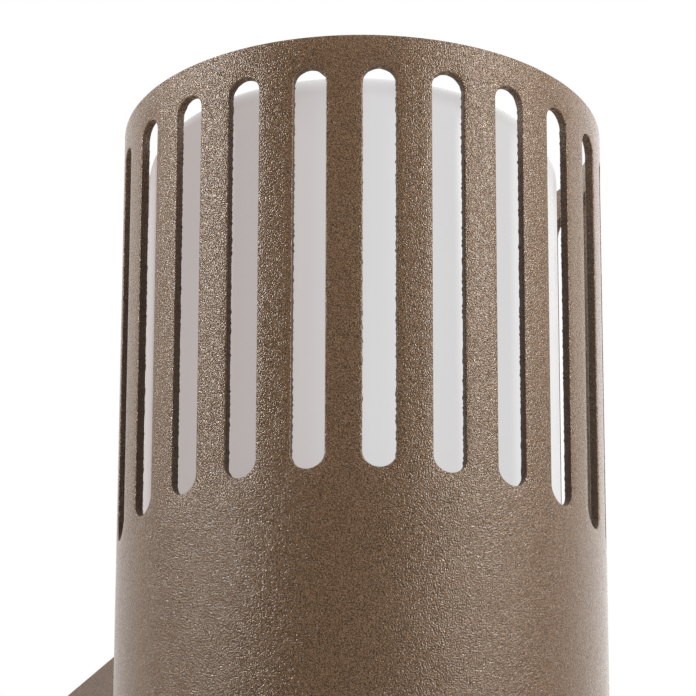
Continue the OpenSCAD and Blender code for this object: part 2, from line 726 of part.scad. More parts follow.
module earth_tag() color(zinc) translate([earth_x, -plate_t, earth_z]) rotate([90, 0, 0]) difference() {
    union() {
        cylinder(r = tag_r, h = tag_t);
        translate([-wire_d / 2, 0, 0]) cube([wire_d, tag_r + tag_tail, tag_t]);
        translate([0, tag_r + tag_tail - tag_barrel, tag_t + wire_d / 2 - snug]) rotate([-90, 0, 0])
            cylinder(d = wire_d, h = tag_barrel, $fn = 48);
    }
    translate([0, 0, -cut]) cylinder(d = earth_d + loose, h = tag_t + 2 * cut, $fn = 48);
}

module earth_washer() color(zinc) translate([earth_x, -plate_t - tag_t, earth_z]) rotate([90, 0, 0])
    ring(tag_r, earth_d / 2 + loose / 2, tag_t);

module earth_nut() color(brass) translate([earth_x, -plate_t - 2 * tag_t, earth_z]) rotate([90, 0, 0])
    difference() {
        cylinder(r = nut_r, h = nut_h, $fn = 6);
        translate([0, 0, -cut]) cylinder(d = earth_d + 2 * snug, h = nut_h + 2 * cut, $fn = 48);
    }

// The places where a wire ends in its clamp, and where it leaves the terminal block downwards
function clamp_end(pole) = [pole * pole_pitch, wire_y, terminal_z - terminal_h / 2 + wire_in];
function block_exit(pole) = [pole * pole_pitch, wire_y, terminal_z - terminal_h / 2 - wire_lead];

// The line of a lamp wire: down from its pole, through the grommet and up to the lamp holder
function lamp_wire(pole, side) = let (end = [lamp_shift + side * wire_end_x, -reach, holder_low])
    concat([clamp_end(pole)], route([
        [block_exit(pole), down, wire_bend],
        [[side * wire_pair_x, -arm_depth, 0], [0, -1, 0], wire_bend],
        [end + down * wire_lead, -down, wire_sweep]
    ]), [end]);

// The line of the earth wire: down from its pole to the tag on the earth stud
function earth_line() =
    let (end = [earth_x, -plate_t - tag_t - wire_d / 2 + snug, earth_z + tag_r + tag_tail])
    concat([clamp_end(1)], route([
        [block_exit(1), down, wire_bend], [end - down * wire_lead, down, wire_bend]
    ]), [end]);

module live_wire() color(brown_wire) wire(lamp_wire(-1, -1), [1, 0, 0]);

module neutral_wire() color(blue_wire) wire(lamp_wire(0, 1), [1, 0, 0]);

module earth_wire() color(green_wire) wire(earth_line(), [0, 1, 0]);

shade_tube();
diffuser();
diffuser_seal();
lamp_base();
lamp_base_screws();
lamp_carrier();
carrier_seal();
carrier_screws();
mounting_strap();
tube_screws();
tube_screw_washers();
holder_body();
holder_shell();
holder_contact();
holder_screws();
bulb_contact();
bulb_insulator();
bulb_cap();
bulb_body();
bulb_led_board();
bulb_globe();
bottom_cap();
cap_screws();
arm_housing();
saddle_gasket();
wire_grommet();
wall_plate();
wall_gasket();
arm_screws();
cable_grommet();
terminal_block();
terminal_clamps();
terminal_screws();
terminal_fixings();
earth_stud();
earth_tag();
earth_washer();
earth_nut();
live_wire();
neutral_wire();
earth_wire();
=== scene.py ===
# %% [markdown]
# This lesson dresses an outdoor wall light: a slotted metal tube, open at the top, that stands
# round an opal diffuser and hangs on a hollow box arm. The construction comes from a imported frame
# whose parts already have their real size and place. Here they get their looks: rounded edges,
# coats of paint, plating, moulded plastic and light.

# %% The frame and its box
import json
import math

import bmesh
import bpy
from mathutils import Matrix, Vector, noise

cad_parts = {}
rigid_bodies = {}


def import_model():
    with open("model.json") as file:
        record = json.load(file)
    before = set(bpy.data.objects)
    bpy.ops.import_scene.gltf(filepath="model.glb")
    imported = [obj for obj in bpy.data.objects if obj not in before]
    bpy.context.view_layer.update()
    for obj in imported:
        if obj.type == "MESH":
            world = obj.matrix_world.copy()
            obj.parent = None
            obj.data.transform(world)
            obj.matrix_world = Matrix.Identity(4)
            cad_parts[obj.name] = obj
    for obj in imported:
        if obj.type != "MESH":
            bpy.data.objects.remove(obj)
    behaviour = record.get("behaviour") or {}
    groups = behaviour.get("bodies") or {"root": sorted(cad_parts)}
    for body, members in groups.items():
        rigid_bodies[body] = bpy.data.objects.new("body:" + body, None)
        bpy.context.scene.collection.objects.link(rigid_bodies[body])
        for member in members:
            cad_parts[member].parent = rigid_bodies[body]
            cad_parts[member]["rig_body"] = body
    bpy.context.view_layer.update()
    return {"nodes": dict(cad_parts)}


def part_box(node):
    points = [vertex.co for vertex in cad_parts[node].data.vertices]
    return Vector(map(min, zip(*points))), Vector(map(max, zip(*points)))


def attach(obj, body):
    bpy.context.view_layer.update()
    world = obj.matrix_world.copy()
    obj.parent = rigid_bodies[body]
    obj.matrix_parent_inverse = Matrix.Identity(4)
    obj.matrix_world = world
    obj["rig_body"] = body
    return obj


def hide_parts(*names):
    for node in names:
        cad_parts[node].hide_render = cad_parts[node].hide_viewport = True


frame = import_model()

# %% [markdown]
# Sizes are in metres. The few that the frame doesn't tell are written here once, in millimetres
# times MM, and everything else is worked out from them.

# %% Sizes of the tube and its slots
MM = 0.001
TUBE_R = 55 * MM
TUBE_WALL = 2 * MM
TUBE_AXIS = Vector((0, -95 * MM, 0))
LAMP_AXIS = Vector((-2.3 * MM, -95 * MM, 0))
SLOT_COUNT = 22
SLOT_W = 7.5 * MM
SLOT_LEN = 96.2 * MM
SLOT_MARGIN = 7.7 * MM
tube_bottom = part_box("shade_tube")[0].z
tube_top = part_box("shade_tube")[1].z
slot_half = SLOT_W / 2
bay_w = 2 * math.pi * TUBE_R / SLOT_COUNT
bay_turn = 2 * math.pi / SLOT_COUNT
slot_straight = SLOT_LEN - SLOT_W
slot_middle = tube_top - SLOT_MARGIN - SLOT_LEN / 2
print("one bay of the tube is", round(bay_w / MM, 2), "mm wide")

# %% [markdown]
# The camera comes first, because everything is judged through it. The photograph was taken from
# below and from the left with a long lens, so the tube's sides close only a little towards its top.
# The camera's place is given from the middle of the tube's rim: how far back, how far below, and
# the bearing that the tube was turned by. Pitch, yaw and roll are in radians.

# %% The camera
SENSOR = 36.0
LENS = 279.97
CLIP_NEAR = 0.05
CLIP_FAR = 50
CAMERA_BACK = 1131.5 * MM
CAMERA_BELOW = 546.6 * MM
CAMERA_BEARING = math.radians(20.38)
CAMERA_PITCH = 0.4119
CAMERA_YAW = -0.0028
CAMERA_ROLL = 0.0028
rim_middle = TUBE_AXIS + Vector((0, 0, tube_top))
bearing = Matrix.Rotation(-CAMERA_BEARING, 4, "Z")


def add_object(name, data):
    """Puts a new object with its data into the scene."""
    made = bpy.data.objects.new(name, data)
    bpy.context.scene.collection.objects.link(made)
    return made


lens = bpy.data.cameras.new("camera")
lens.sensor_width = SENSOR
lens.lens = LENS
lens.clip_start = CLIP_NEAR
lens.clip_end = CLIP_FAR
camera = add_object("camera", lens)
camera.matrix_world = (
    Matrix.Translation(rim_middle + bearing @ Vector((0, -CAMERA_BACK, -CAMERA_BELOW)))
    @ bearing
    @ Matrix.Rotation(-CAMERA_YAW, 4, "Z")
    @ Matrix.Rotation(math.pi / 2 + CAMERA_PITCH, 4, "X")
    @ Matrix.Rotation(CAMERA_ROLL, 4, "Z")
)
bpy.context.scene.camera = camera
print("camera at", camera.matrix_world.translation)

# %% [markdown]
# Materials are sums of patterns. Wiring nodes by hand hides the sum, so a small class wraps a
# number socket and lets Python's own operators add the Math nodes.

# %% Shader maths as Python expressions
class Number:
    """A number, vector or colour that flows through a node tree."""

    def __init__(self, net, socket):
        self.net = net
        self.socket = socket

    def sum(self, operation, first, second):
        return self.net.node("ShaderNodeMath", {"operation": operation}, {0: first, 1: second})

    def __add__(self, other):
        return self.sum("ADD", self, other)

    def __radd__(self, other):
        return self.sum("ADD", other, self)

    def __sub__(self, other):
        return self.sum("SUBTRACT", self, other)

    def __rsub__(self, other):
        return self.sum("SUBTRACT", other, self)

    def __mul__(self, other):
        return self.sum("MULTIPLY", self, other)

    def __rmul__(self, other):
        return self.sum("MULTIPLY", other, self)

    def __truediv__(self, other):
        return self.sum("DIVIDE", self, other)

    def __gt__(self, other):
        return self.sum("GREATER_THAN", self, other)

    def __lt__(self, other):
        return self.sum("LESS_THAN", self, other)


print("a Number adds its Math nodes for + - * / > and <")

# %% [markdown]
# A second class holds the node tree and adds any other node through one method. It sets what the
# node is before it fills the sockets, because some settings change which sockets there are.

# %% A node tree
class Net:
    """A node tree under construction."""

    def __init__(self, tree):
        self.tree = tree
        tree.nodes.clear()

    def end(self, kind, socket):
        """Ends the tree in an output node of some kind."""
        self.tree.links.new(socket, self.tree.nodes.new(kind).inputs["Surface"])

    def fill(self, node, values):
        for name, value in values.items():
            if isinstance(value, Number):
                self.tree.links.new(value.socket, node.inputs[name])
            else:
                node.inputs[name].default_value = value

    def bend(self, mapping, places):
        """Lays a node's curve through places, each given as (from, to)."""
        curve = mapping.curves[0]
        while len(curve.points) < len(places):
            curve.points.new(0.5, 0.5)
        for point, place in zip(curve.points, places):
            point.location = place
            point.handle_type = "AUTO_CLAMPED"
        mapping.update()

    def node(self, kind, settings=None, values=None, output=0):
        """Adds a node of any kind: its settings first, then its sockets' values or links."""
        made = self.tree.nodes.new(kind)
        for name, value in (settings or {}).items():
            if name == "curve":
                self.bend(made.mapping, value)
            else:
                setattr(made, name, value)
        self.fill(made, values or {})
        return Number(self, made.outputs[output])

    def step(self, value, low, high, to_low=0.0, to_high=1.0):
        """Turns a value that runs from low to high into one from to_low to to_high, clamped."""
        return self.node("ShaderNodeMapRange", {"clamp": True}, {
            "Value": value, "From Min": low, "From Max": high, "To Min": to_low, "To Max": to_high})


print("a Net adds nodes of any kind")

# %% [markdown]
# A third class is a material that ends in one shader. Its patterns all read the place of the
# surface in the frame that the pieces share, so a pattern runs on from one piece to the next.

# %% A material
NOISE_LOW = 0.3
NOISE_HIGH = 0.7


class Finish(Net):
    """A material under construction, with the shader that it ends in."""

    def __init__(self, name, color, **looks):
        self.material = bpy.data.materials.new(name)
        self.material.use_nodes = True
        super().__init__(self.material.node_tree)
        self.shader = self.tree.nodes.new("ShaderNodeBsdfPrincipled")
        self.end("ShaderNodeOutputMaterial", self.shader.outputs[0])
        self.material.diffuse_color = (*color, 1)
        looks = {name.replace("_", " "): value for name, value in looks.items()}
        self.set({"Base Color": (*color, 1), **looks})

    def set(self, values):
        """Sets or links sockets of the final shader."""
        self.fill(self.shader, values)

    def place(self):
        """The point of the surface, in metres, in the frame that all pieces share."""
        return self.node("ShaderNodeTexCoord", output="Object")

    def axis(self, letter):
        return self.node("ShaderNodeSeparateXYZ", values={0: self.place()}, output=letter)

    def grain(self, size, detail=2.0, roughness=0.5):
        """Soft noise, from 0 to 1, with features of a size in metres."""
        return self.node("ShaderNodeTexNoise", values={
            "Vector": self.place(), "Scale": 1 / size, "Detail": detail, "Roughness": roughness})

    def cells(self, size, output="Distance"):
        """Scattered cells of a size in metres: how far off the middle is, or the cell's colour."""
        values = {"Vector": self.place(), "Scale": 1 / size}
        return self.node("ShaderNodeTexVoronoi", values=values, output=output)

    def lot(self, size, channel):
        """A random number for each cell, taken from one channel of its colour."""
        return self.node(
            "ShaderNodeSeparateColor", values={0: self.cells(size, output="Color")}, output=channel)

    def stray(self, grain, middle, by):
        """A number that a grain moves up and down from a middle, by so much at most."""
        return self.step(grain, NOISE_LOW, NOISE_HIGH, middle - by, middle + by)

    def mix(self, share, first, second):
        """Mixes two colours."""
        first, second = (c if isinstance(c, Number) else (*c, 1) for c in (first, second))
        return self.node(
            "ShaderNodeMix", {"data_type": "RGBA"}, {"Factor": share, "A": first, "B": second},
            output="Result")

    def bump(self, height, distance):
        """Feeds a height in shares of distance, in metres, to the shader's normal."""
        raised = self.node("ShaderNodeBump", values={"Height": height, "Distance": distance})
        self.set({"Normal": raised})


def times(color, share):
    """A colour made darker or paler."""
    return tuple(c * share for c in color)


print("a Finish holds a material")

# %% [markdown]
# The coat of the tube is a fine textured powder coat. The powder melts into a skin of soft, close
# bumps under a millimetre across, and a few grains of mica stay bright in it. Two noises make the
# skin: one for the bumps and one, three times as large, that makes their height uneven. The colour
# follows the bumps, deep in the hollows and full on top, which is painted shade in the hollows, and
# a third, finer noise breaks it up into a random grain of tone. Bump alone can't sparkle, so the
# mica is a mask of rare cells that makes the colour lighter and the gloss sharper. The arm has a
# smoother, flatter skin of the same coat, with its colour painted darker: painted shade from the
# tube that hangs beside it.

# %% The bronze coats
BRONZE = (0.272, 0.157, 0.086)
BRONZE_DEEP = (0.098, 0.057, 0.031)
BRONZE_PALE = (0.240, 0.153, 0.090)
DEEP_BELOW = 0.36
FULL_ABOVE = 0.62
SWELL_SIZE = 3
SWELL_SHARE = 0.2
FINE_SIZE = 0.65
CLOUD_SIZE = 30 * MM
CLOUD_SHARE = 0.15
MICA = (0.70, 0.50, 0.28)
MICA_CELLS = 0.02
MICA_REACH = 0.30
WARM_GLOSS = (1.0, 0.945, 0.87, 1.0)


def bronze_coat(name, bump_size, bump_height, roughness, speckle, shade, spread):
    """A bronze powder coat.

    speckle is how much the finest noise breaks up the colour, shade how dark the colour is, which
    on the arm's smooth coat is painted shade from the tube, and spread how far its deep and its
    full tone are apart.
    """
    coat = Finish(
        name, BRONZE, Roughness=roughness, Specular_IOR_Level=0.65, Specular_Tint=WARM_GLOSS)
    deep, full, pale = (times(tone, shade) for tone in (BRONZE_DEEP, BRONZE, BRONZE_PALE))
    middle = [(d + f) / 2 for d, f in zip(deep, full)]
    deep, full = (
        tuple(m + (c - m) * spread for m, c in zip(middle, tone)) for tone in (deep, full))
    skin = coat.grain(bump_size, detail=0.5, roughness=0.4)
    swell = coat.grain(SWELL_SIZE * bump_size, detail=0.0)
    height = skin * (1 - SWELL_SHARE) + swell * SWELL_SHARE
    fine = coat.grain(FINE_SIZE * bump_size, detail=0.0)
    # Painted shade: the colour is deep in the bumps' hollows, and the finer noise adds a random
    # grain of tone.
    painted_hollow_shade_and_grain = coat.step(skin + (fine - 0.5) * speckle, DEEP_BELOW, FULL_ABOVE)
    tone = coat.mix(painted_hollow_shade_and_grain, deep, full)
    cloud = coat.grain(CLOUD_SIZE, detail=1.0)
    tone = coat.mix(coat.step(cloud, 0.35, 0.75, 0.0, CLOUD_SHARE), tone, pale)
    luck = coat.lot(bump_size, 0)
    near = coat.cells(bump_size)
    mica = (luck > 1 - MICA_CELLS) * (near < MICA_REACH)
    coat.set({
        "Base Color": coat.mix(mica * 0.5, tone, MICA),
        "Roughness": coat.stray(height, roughness, 0.06) - mica * 0.1,
        "Metallic": mica * 0.4,
    })
    coat.bump(height, bump_height)
    return coat.material


coat_grainy = bronze_coat(
    "bronze_coat", bump_size=0.31 * MM, bump_height=0.23 * MM, roughness=0.24, speckle=2.0,
    shade=1.12, spread=1.25)
# shade=0.85 paints the smooth coat darker than the tube's: painted shade from the tube beside the
# arm.
coat_smooth = bronze_coat(
    "bronze_coat_smooth", bump_size=0.50 * MM, bump_height=0.05 * MM, roughness=0.50, speckle=0.3,
    shade=0.85, spread=1.0)
print("made", coat_grainy.name, "and", coat_smooth.name)

# %% [markdown]
# The slots are sawn before the tube is painted. Their walls are rougher than the outside, and their
# colour is painted darker, as painted shade in the narrow slots. Pale specks on them are painted
# highlights that stand for the lit nicks of the sawn wall: a few all along the wall, and many below
# each slot's upper end. Two noises with high thresholds make the specks, and a mask on the height
# keeps the second kind near the top.

# %% The coat on the slots' walls
# The dark wall colour is painted shade in the slots, and the pale specks are painted highlights.
WALL_DARK = (0.078, 0.046, 0.028)
WALL_GLINT_PALE = (0.300, 0.190, 0.115)
SPECKS_START = 45 * MM
SPECKS_FULL = 15 * MM
SPECK_SHARE = 0.6


def slot_wall_coat():
    coat = Finish("bronze_coat_in_slots", WALL_DARK, Roughness=0.5, Specular_IOR_Level=0.4)
    rough = coat.grain(0.5 * MM, detail=2.0, roughness=0.6)
    near_top = coat.step(coat.axis("Z"), tube_top - SPECKS_START, tube_top - SPECKS_FULL)
    many = coat.step(coat.grain(0.35 * MM, detail=1.0), 0.48, 0.62) * near_top
    few = coat.step(coat.grain(0.30 * MM, detail=0.0), 0.66, 0.72)
    tone = coat.mix(coat.step(rough, 0.40, 0.65, 0.0, 0.5), WALL_DARK, BRONZE_DEEP)
    # Painted highlights: pale specks over the painted shade of the wall.
    specks = many * SPECK_SHARE + few * SPECK_SHARE
    coat.set({"Base Color": coat.mix(specks, tone, WALL_GLINT_PALE)})
    coat.bump(rough, 0.30 * MM)
    return coat.material


coat_in_slots = slot_wall_coat()
print("made", coat_in_slots.name)

# %% [markdown]
# Moulded plastic has a satin skin, with a very faint unevenness from the mould, and broad, faint
# clouds in its colour and gloss.

# %% Plastics
PLASTIC_CLOUDS = 9 * MM
PALER = 1.05


def moulded(name, color, roughness):
    """The skin of a moulded plastic, and the clouds that its colour follows."""
    look = Finish(name, color, Roughness=roughness, Specular_IOR_Level=0.45)
    clouds = look.grain(PLASTIC_CLOUDS)
    look.set({"Roughness": look.stray(clouds, roughness, 0.03)})
    look.bump(look.grain(1.2 * MM, detail=3.0), 0.004 * MM)
    return look, clouds


def plastic(name, color, roughness):
    look, clouds = moulded(name, color, roughness)
    look.set({"Base Color": look.mix(clouds, color, times(color, PALER))})
    return look.material


white_plastic = plastic("white_plastic", (0.74, 0.74, 0.71), 0.35)
natural_plastic = plastic("clear_plastic", (0.66, 0.65, 0.58), 0.40)
print("made", white_plastic.name, "and", natural_plastic.name)

# %% [markdown]
# Opal plastic seems to glow, because light that goes in at one place comes out a few centimetres
# away. An emission paints that light on as a painted glow: strong in the cup's side, stronger
# still on the right, where the room is brighter, and weak in the crown. In return the side's own
# colour is painted darker than the crown's, so that the two together don't turn plain white when
# the cup is lifted into the light. The bulb's globe, which gives no light here, gets a weaker
# painted glow of its own.

# %% Opal plastic
CROWN_DEPTH = 9 * MM
OPAL_ROUGHNESS = 0.38


def opal_with_painted_glow(name, node, color, side_shade, left_painted_glow, right_painted_glow, crown_painted_glow):
    """Opal plastic for a node, with a painted glow in its two sides and its crown."""
    low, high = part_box(node)
    look, clouds = moulded(name, color, OPAL_ROUGHNESS)
    # Painted glow: the emission grows from left to right, where the room is brighter, and is weaker
    # in the crown. The side's colour is painted darker with it.
    to_right = look.step(look.axis("X"), low.x * 0.7, low.x * 0.3)
    painted_side_glow = look.mix(to_right, left_painted_glow, right_painted_glow)
    at_crown = look.step(look.axis("Z"), high.z - CROWN_DEPTH, high.z)
    side = times(color, side_shade)
    look.set({
        "Base Color": look.mix(at_crown, look.mix(clouds, side, times(side, PALER)), color),
        "Emission Color": look.mix(at_crown, painted_side_glow, crown_painted_glow),
        "Emission Strength": 1.0,
    })
    return look.material


opal = opal_with_painted_glow(
    "opal", "diffuser", color=(0.42, 0.415, 0.42), side_shade=0.45, left_painted_glow=(0.43, 0.39, 0.38),
    right_painted_glow=(0.62, 0.617, 0.625), crown_painted_glow=(0.2, 0.2, 0.2))
globe_white = opal_with_painted_glow(
    "opal_globe", "bulb_globe", color=(0.60, 0.60, 0.58), side_shade=1.0,
    left_painted_glow=(0.2, 0.2, 0.19), right_painted_glow=(0.2, 0.2, 0.19), crown_painted_glow=(0.1, 0.1, 0.1))
print("made", opal.name, "and", globe_white.name)

# %% [markdown]
# Zinc plate is grey with a crystal pattern, brass is warm and a little dull, and nickel is plain.
# Metals take their colour from what they mirror, so their detail is mostly in the roughness.

# %% Metals
CRYSTAL_GLOSS = 0.12
DUST_GLOSS = 0.15


def plate_metal(name, color, roughness, patch, contrast):
    """A plated or rolled metal with crystal patches of a size in metres."""
    metal = Finish(name, color, Metallic=1.0, Roughness=roughness)
    crystal = metal.lot(patch, 1)
    dust = metal.grain(0.6 * MM, detail=3.0)
    metal.set({
        "Base Color": metal.mix(crystal, times(color, 1 - contrast), color),
        "Roughness": roughness + (crystal - 0.5) * CRYSTAL_GLOSS + (dust - 0.5) * DUST_GLOSS,
    })
    metal.bump(dust, 0.01 * MM)
    return metal.material


zinc = plate_metal("zinc", (0.62, 0.63, 0.65), roughness=0.34, patch=2.4 * MM, contrast=0.22)
nickel = plate_metal("nickel", (0.68, 0.66, 0.62), roughness=0.24, patch=1.0 * MM, contrast=0.05)
brass = plate_metal("brass", (0.72, 0.52, 0.24), roughness=0.30, patch=1.5 * MM, contrast=0.12)
print("made", zinc.name, nickel.name, "and", brass.name)

# %% [markdown]
# Rubber is dark and dusty. Porcelain has a hard, clear glaze over a slightly wavy body, which the
# coat layer of the shader stands for.

# %% Rubber, porcelain, the black insulator
RUBBER = (0.020, 0.020, 0.021)
RUBBER_DUST = (0.07, 0.07, 0.07)


def rubber_look():
    look = Finish("black_rubber", (0.022, 0.022, 0.023), Roughness=0.62)
    dust = look.grain(0.8 * MM, detail=4.0, roughness=0.65)
    look.set({
        "Base Color": look.mix(look.step(dust, 0.5, 0.8, 0.0, 0.5), RUBBER, RUBBER_DUST),
        "Roughness": look.stray(dust, 0.65, 0.10),
    })
    look.bump(dust, 0.03 * MM)
    return look.material


def glazed(name, color):
    look = Finish(name, color, Roughness=0.45, Coat_Weight=0.9, Coat_Roughness=0.06)
    wave = look.grain(6 * MM, detail=1.0)
    look.set({"Base Color": look.mix(wave, times(color, 0.93), color)})
    look.bump(wave, 0.05 * MM)
    return look.material


black_rubber = rubber_look()
porcelain = glazed("porcelain", (0.82, 0.80, 0.74))
black_glass = glazed("black_glass", (0.015, 0.015, 0.018))
print("made", black_rubber.name, porcelain.name, "and", black_glass.name)

# %% [markdown]
# Wire insulation is soft and a little shiny. The earth wire has a yellow stripe that runs along it,
# which is a mask on the sideways coordinate, because that wire hangs straight down. A sine of that
# coordinate makes the mask, with STRIPE_WAVES radians to the metre.

# %% Wires
STRIPE_WAVES = 2200
STRIPE_FROM = 0.35


def insulation(name, color, stripe=None):
    look = Finish(name, color, Roughness=0.42)
    mottle = look.grain(1.5 * MM)
    base = look.mix(mottle, times(color, 0.85), color)
    if stripe:
        side = look.axis("X")
        wave = look.node("ShaderNodeMath", {"operation": "SINE"}, {0: side * STRIPE_WAVES})
        base = look.mix(wave > STRIPE_FROM, base, stripe)
    look.set({"Base Color": base})
    look.bump(mottle, 0.01 * MM)
    return look.material


brown_wire = insulation("brown_wire", (0.13, 0.055, 0.025))
blue_wire = insulation("blue_wire", (0.03, 0.10, 0.42))
green_wire = insulation("green_wire", (0.05, 0.30, 0.06), stripe=(0.75, 0.62, 0.05))
print("made", brown_wire.name, blue_wire.name, "and", green_wire.name)

# %% [markdown]
# The light board is white with small yellow chips. The chips stand above the board, so a mask on
# the height tells them apart.

# %% The light board
BOARD_WHITE = (0.80, 0.80, 0.78)
BOARD_TRACE = (0.60, 0.62, 0.60)
CHIP_YELLOW = (0.85, 0.62, 0.08)
CHIP_HEIGHT = 0.6 * MM


def board_look():
    look = Finish("white_plastic_board", BOARD_WHITE, Roughness=0.35)
    chips = look.axis("Z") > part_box("bulb_led_board")[1].z - CHIP_HEIGHT
    trace = look.step(look.grain(4 * MM, detail=0.0), 0.48, 0.52)
    board = look.mix(trace * 0.12, BOARD_WHITE, BOARD_TRACE)
    look.set({"Base Color": look.mix(chips, board, CHIP_YELLOW)})
    return look.material


light_board = board_look()
print("made", light_board.name)

# %% [markdown]
# Helpers for pieces. A piece is a bmesh that becomes an object at the origin, takes a material,
# rides on a body of the frame and stands for the CAD node whose shape it refines. Edges that turn
# by more than an angle, in degrees, are shaded sharp.

# %% From bmesh to a finished piece
SHARP_ABOVE = 40


def to_mesh(bm, name):
    """Turns a bmesh into a mesh and frees it."""
    mesh = bpy.data.meshes.new(name)
    bm.to_mesh(mesh)
    bm.free()
    return mesh


def finish_piece(bm, name, node, looks, sharp=SHARP_ABOVE):
    """Makes a bmesh a piece in place of a node, with its materials and the node's own body."""
    mesh = to_mesh(bm, name)
    for look in looks:
        mesh.materials.append(look)
    mesh.polygons.foreach_set("use_smooth", [True] * len(mesh.polygons))
    mesh.set_sharp_from_angle(angle=math.radians(sharp))
    piece = add_object(name, mesh)
    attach(piece, frame["nodes"][node]["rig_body"])
    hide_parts(node)
    print(f"{name}: {len(mesh.polygons)} faces")
    return piece


# %% [markdown]
# Operators leave points on top of each other where two ends of a shape meet. Two helpers join them,
# at two distances: one for the seams made here and one, twice as wide, for what the boolean and the
# CAD meshes leave. A third rounds every edge between two faces that meet at more than some degrees.

# %% Seams and rounded edges
SEAM = 1e-6
WELD = 2e-6


def join_seams(bm):
    """Joins the points at seams and turns all faces outwards."""
    bmesh.ops.remove_doubles(bm, verts=bm.verts, dist=SEAM)
    bmesh.ops.recalc_face_normals(bm, faces=bm.faces)


def clean_up(bm):
    """Joins points that coincide, and drops edges and faces without size."""
    bmesh.ops.remove_doubles(bm, verts=bm.verts, dist=WELD)
    bmesh.ops.dissolve_degenerate(bm, dist=WELD, edges=bm.edges)


def round_edges(bm, above, radius, segments):
    """Rounds the edges between two faces that meet at more than so many degrees."""
    least = math.radians(above)
    edges = [e for e in bm.edges if len(e.link_faces) == 2 and e.calc_face_angle() > least]
    bmesh.ops.bevel(
        bm, geom=edges, offset=radius, offset_type="OFFSET", segments=segments, profile=0.5,
        affect="EDGES", clamp_overlap=True, material=-1)


print("points are joined within", SEAM, "or", WELD, "m")

# %% [markdown]
# The tube is the piece that everyone sees. A boolean on a round wall leaves long, thin faces that
# shade badly, so the tube is made the way a sheet metal worker would think of it: flat first, then
# rolled. One bay of the flat sheet is a slot and the metal round it. The slot's outline is a circle
# whose two halves are pulled apart; its edges are extruded out to the bay's border, and the new
# faces are cut into rings so that they can bend.

# %% One flat bay with its slot
ARC_EDGES = 32
SIDE_CUTS = 165
RING_CUTS = 1


def verts_of(made):
    """The points among what an operator made."""
    return [g for g in made["geom"] if isinstance(g, bmesh.types.BMVert)]


def to_border(verts):
    """Moves a copy of the slot's outline out to the bay's rectangular border."""
    half = bay_w / 2
    rise = slot_half + SLOT_MARGIN
    corner = math.atan2(rise, half)
    for up in (-1, 1):
        arc = [v for v in verts if v.co.z * up > slot_straight / 2]
        for right in (-1, 1):
            quarter = [v for v in arc if v.co.x * right > 0]
            angles = {
                v: math.atan2(v.co.z * up - slot_straight / 2, v.co.x * right) for v in quarter}
            at_corner = min(quarter, key=lambda v: abs(angles[v] - corner))
            for vert, angle in angles.items():
                out = min(half / math.cos(angle), rise / math.sin(angle))
                if vert is at_corner:
                    vert.co.x = right * half
                    vert.co.z = up * (slot_straight / 2 + rise)
                else:
                    vert.co.x = right * out * math.cos(angle)
                    vert.co.z = up * (slot_straight / 2 + out * math.sin(angle))
    for vert in verts:
        if abs(vert.co.z) <= slot_straight / 2:
            vert.co.x = math.copysign(half, vert.co.x)


def flat_bay(bm):
    """Adds one bay of the flat sheet, in the XZ plane, with its slot's middle at the origin."""
    outline_r = slot_half / math.cos(math.pi / ARC_EDGES)
    turn = Matrix.Rotation(math.pi / 2, 4, "X") @ Matrix.Rotation(math.pi / ARC_EDGES, 4, "Z")
    bmesh.ops.create_circle(bm, segments=ARC_EDGES, radius=outline_r, matrix=turn)
    for vert in bm.verts:
        vert.co.z += math.copysign(slot_straight / 2, vert.co.z)
    sides = [e for e in bm.edges if e.calc_length() > slot_straight / 2]
    bmesh.ops.subdivide_edges(bm, edges=sides, cuts=SIDE_CUTS)
    outline = set(bm.verts)
    to_border(verts_of(bmesh.ops.extrude_edge_only(bm, edges=list(bm.edges))))
    rays = [e for e in bm.edges if len(set(e.verts) & outline) == 1]
    bmesh.ops.subdivide_edges(bm, edges=rays, cuts=RING_CUTS, use_grid_fill=True)
    print("one bay:", len(bm.faces), "faces")


# %% [markdown]
# The bay is repeated along the sheet with spin, which can also step sideways without turning. Then
# the plain lower part is extruded down, the sheet gets its thickness, and the edges of the slots
# and the rims are rounded while everything is still flat, because there the bevel meets true right
# angles.

# %% The whole flat sheet
FOOT_CUTS = 11
TOUCHING = 1e-7
BEVEL_ABOVE = 60
EDGE_R = 0.35 * MM
EDGE_SEGMENTS = 3


def flat_sheet():
    bm = bmesh.new()
    flat_bay(bm)
    bmesh.ops.translate(bm, verts=bm.verts, vec=(0, 0, slot_middle))
    low = min(v.co.z for v in bm.verts)
    foot = [e for e in bm.edges if all(abs(v.co.z - low) < TOUCHING for v in e.verts)]
    for vert in verts_of(bmesh.ops.extrude_edge_only(bm, edges=foot)):
        vert.co.z = tube_bottom
    drops = [e for e in bm.edges if e.calc_length() > (low - tube_bottom) * 0.9]
    bmesh.ops.subdivide_edges(bm, edges=drops, cuts=FOOT_CUTS, use_grid_fill=True)
    bmesh.ops.spin(
        bm, geom=bm.verts[:] + bm.edges[:] + bm.faces[:], cent=(0, 0, 0), axis=(0, 0, 1),
        dvec=(bay_w, 0, 0), angle=0, steps=SLOT_COUNT - 1, use_merge=False, use_duplicate=True)
    join_seams(bm)
    print("flat sheet:", len(bm.faces), "faces")
    return bm


